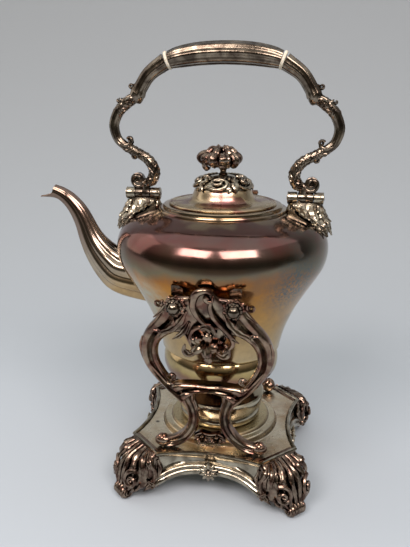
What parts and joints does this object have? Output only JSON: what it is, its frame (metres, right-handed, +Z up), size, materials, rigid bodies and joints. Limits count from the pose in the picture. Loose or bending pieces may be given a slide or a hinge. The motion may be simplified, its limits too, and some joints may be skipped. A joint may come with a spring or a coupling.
{
  "type": "spirit kettle on stand",
  "caption": "Victorian plated spirit kettle with swan spout and bail handle, hung on pins between scrolled brackets over a spirit lamp on a footed stand.",
  "frame": {"origin": "centre of the bounding box's base, on the table", "axes": "+Z up, spout towards -X, the pictured bracket towards -Y"},
  "size_m": [0.2762, 0.21, 0.3954],
  "materials": {
    "silver_sheet": "tarnished silver plate over copper sheet, polished",
    "silver_cast": "tarnished silver plate over cast metal",
    "copper_cast": "cast metal with the plate worn to reddish copper on its edges",
    "ivory": "aged ivory",
    "steel": "plain",
    "cotton": "woven wick"
  },
  "bodies": {
    "stand": {"base_plate": "silver_sheet", "base_border": "silver_cast", "foot_front_left": "copper_cast", "foot_front_right": "copper_cast", "foot_rear_right": "copper_cast", "foot_rear_left": "copper_cast", "side_shell_front": "silver_cast", "side_shell_right": "silver_cast", "side_shell_rear": "silver_cast", "side_shell_left": "silver_cast", "bracket_front": "copper_cast", "bracket_rear": "copper_cast", "bracket_screw_front_left": "steel", "bracket_screw_front_right": "steel", "bracket_screw_rear_left": "steel", "bracket_screw_rear_right": "steel"},
    "kettle": {"kettle_body": "silver_sheet", "foot_roll": "silver_sheet", "spout": "silver_sheet", "handle_socket_left": "silver_cast", "handle_socket_right": "silver_cast", "handle_hinge_pin_left": "steel", "handle_hinge_pin_right": "steel", "lid_hinge_bracket": "silver_cast", "lid_hinge_pin": "steel", "kettle_strap_front_left": "silver_cast", "kettle_strap_front_right": "silver_cast", "kettle_strap_rear_left": "silver_cast", "kettle_strap_rear_right": "silver_cast"},
    "lid": {"lid_plate": "silver_sheet", "lid_crown": "silver_cast", "finial_stem": "silver_cast", "finial_flower": "copper_cast", "finial_nut": "steel"},
    "handle": {"handle_arm_left": "silver_cast", "handle_arm_right": "silver_cast", "insulator_left": "ivory", "insulator_right": "ivory", "handle_tenon_left": "steel", "handle_tenon_right": "steel", "handle_grip": "silver_cast"},
    "lamp": {"lamp_font": "silver_sheet", "burner_collar": "silver_cast", "wick": "cotton"},
    "pin_front_left": {"kettle_pin_front_left": "silver_cast"},
    "pin_front_right": {"kettle_pin_front_right": "silver_cast"},
    "pin_rear_left": {"kettle_pin_rear_left": "silver_cast"},
    "pin_rear_right": {"kettle_pin_rear_right": "silver_cast"}
  },
  "joints": [
    {"name": "kettle_tilt", "type": "hinge", "parent": "stand", "child": "kettle", "pos_m": [0.01189, 0, 0.1949], "axis": [0, -1, 0], "range_deg": [0, 45]},
    {"name": "lid_open", "type": "hinge", "parent": "kettle", "child": "lid", "pos_m": [0.03529, 0.0555, 0.2605], "axis": [-1, 0, 0], "range_deg": [0, 95]},
    {"name": "handle_fold", "type": "hinge", "parent": "kettle", "child": "handle", "pos_m": [0.03529, 0, 0.266], "axis": [1, 0, 0], "range_deg": [0, 85]},
    {"name": "lamp_slide", "type": "slide", "parent": "stand", "child": "lamp", "axis": [1, 0, 0], "range_m": [0, 0.105]},
    {"name": "pin_front_left_pull", "type": "slide", "parent": "stand", "child": "pin_front_left", "axis": [0, -1, 0], "range_m": [0, 0.022]},
    {"name": "pin_front_right_pull", "type": "slide", "parent": "stand", "child": "pin_front_right", "axis": [0, -1, 0], "range_m": [0, 0.022]},
    {"name": "pin_rear_left_pull", "type": "slide", "parent": "stand", "child": "pin_rear_left", "axis": [0, 1, 0], "range_m": [0, 0.022]},
    {"name": "pin_rear_right_pull", "type": "slide", "parent": "stand", "child": "pin_rear_right", "axis": [0, 1, 0], "range_m": [0, 0.022]}
  ]
}
